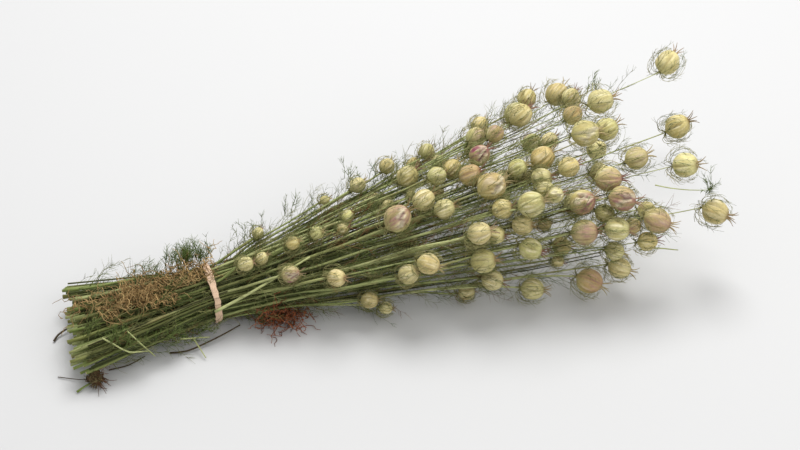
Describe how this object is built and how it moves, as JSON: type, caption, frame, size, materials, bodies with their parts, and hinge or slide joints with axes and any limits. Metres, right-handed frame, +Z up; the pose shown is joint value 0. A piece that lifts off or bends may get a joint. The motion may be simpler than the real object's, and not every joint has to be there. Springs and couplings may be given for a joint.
{
  "type": "dried nigella seed pod bunch",
  "caption": "Tied bunch of dried nigella stems that lies on a table, with ribbed horned seed pods in thread bracts and a flat paper tie.",
  "frame": {"origin": "on the table under the middle of the tie, at the flat spot of the tie that the bunch rests on", "axes": "+X from the tie along the stems towards the pods, +Z up from the table"},
  "size_m": [0.5803, 0.2063, 0.1337],
  "materials": {
    "dried_plant": "matte",
    "tie_paper": "matte"
  },
  "bodies": {
    "root": {"tie": "tie_paper", "plant_01": "dried_plant", "plant_02": "dried_plant", "plant_03": "dried_plant", "plant_04": "dried_plant", "plant_05": "dried_plant", "plant_06": "dried_plant", "plant_07": "dried_plant", "plant_08": "dried_plant", "plant_09": "dried_plant", "plant_10": "dried_plant", "plant_11": "dried_plant", "plant_12": "dried_plant", "plant_13": "dried_plant", "plant_14": "dried_plant", "plant_15": "dried_plant", "plant_16": "dried_plant", "plant_17": "dried_plant", "plant_18": "dried_plant", "plant_19": "dried_plant", "plant_20": "dried_plant", "plant_21": "dried_plant", "plant_22": "dried_plant", "plant_23": "dried_plant", "plant_24": "dried_plant", "plant_25": "dried_plant", "plant_26": "dried_plant", "plant_27": "dried_plant", "plant_28": "dried_plant", "plant_29": "dried_plant", "plant_30": "dried_plant", "plant_31": "dried_plant", "plant_32": "dried_plant", "plant_33": "dried_plant", "plant_34": "dried_plant", "plant_35": "dried_plant", "plant_36": "dried_plant", "plant_37": "dried_plant", "plant_38": "dried_plant", "plant_39": "dried_plant", "plant_40": "dried_plant", "plant_41": "dried_plant", "plant_42": "dried_plant", "plant_43": "dried_plant", "plant_44": "dried_plant", "plant_45": "dried_plant", "plant_46": "dried_plant", "plant_47": "dried_plant", "plant_48": "dried_plant", "plant_49": "dried_plant", "plant_50": "dried_plant", "plant_51": "dried_plant", "plant_52": "dried_plant", "plant_53": "dried_plant", "plant_54": "dried_plant", "plant_55": "dried_plant", "plant_56": "dried_plant", "plant_57": "dried_plant", "plant_58": "dried_plant"}
  },
  "joints": []
}
